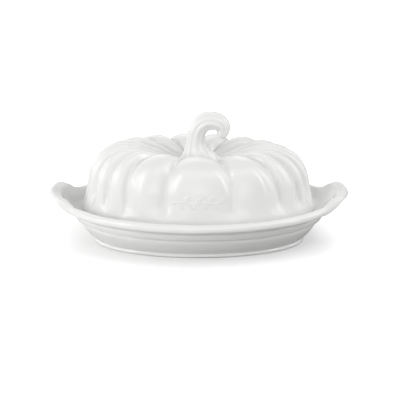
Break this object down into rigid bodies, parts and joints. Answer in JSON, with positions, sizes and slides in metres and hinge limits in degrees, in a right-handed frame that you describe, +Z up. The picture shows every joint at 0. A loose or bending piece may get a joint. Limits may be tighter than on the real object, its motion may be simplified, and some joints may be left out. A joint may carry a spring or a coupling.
{
  "type": "butter dish",
  "caption": "Oval footed stoneware butter dish with upturned end lugs and a lift-off pumpkin-lobed cover with a curled, ribbed stem knob.",
  "frame": {"origin": "on the table under the middle of the dish", "axes": "+X along the length towards the side the stem curls to, +Z up, -Y out of the front lobe"},
  "size_m": [0.2404, 0.141, 0.1077],
  "materials": {
    "dish_glaze": "gloss white glaze, bare clay on the foot ring's underside",
    "cover_glaze": "gloss white glaze",
    "stem_glaze": "gloss white glaze"
  },
  "bodies": {
    "base": {"dish": "dish_glaze"},
    "lid": {"cover": "cover_glaze", "stem": "stem_glaze"}
  },
  "joints": [
    {"name": "cover_lift", "type": "slide", "parent": "base", "child": "lid", "axis": [0, 0, 1], "range_m": [0, 0.12]}
  ]
}
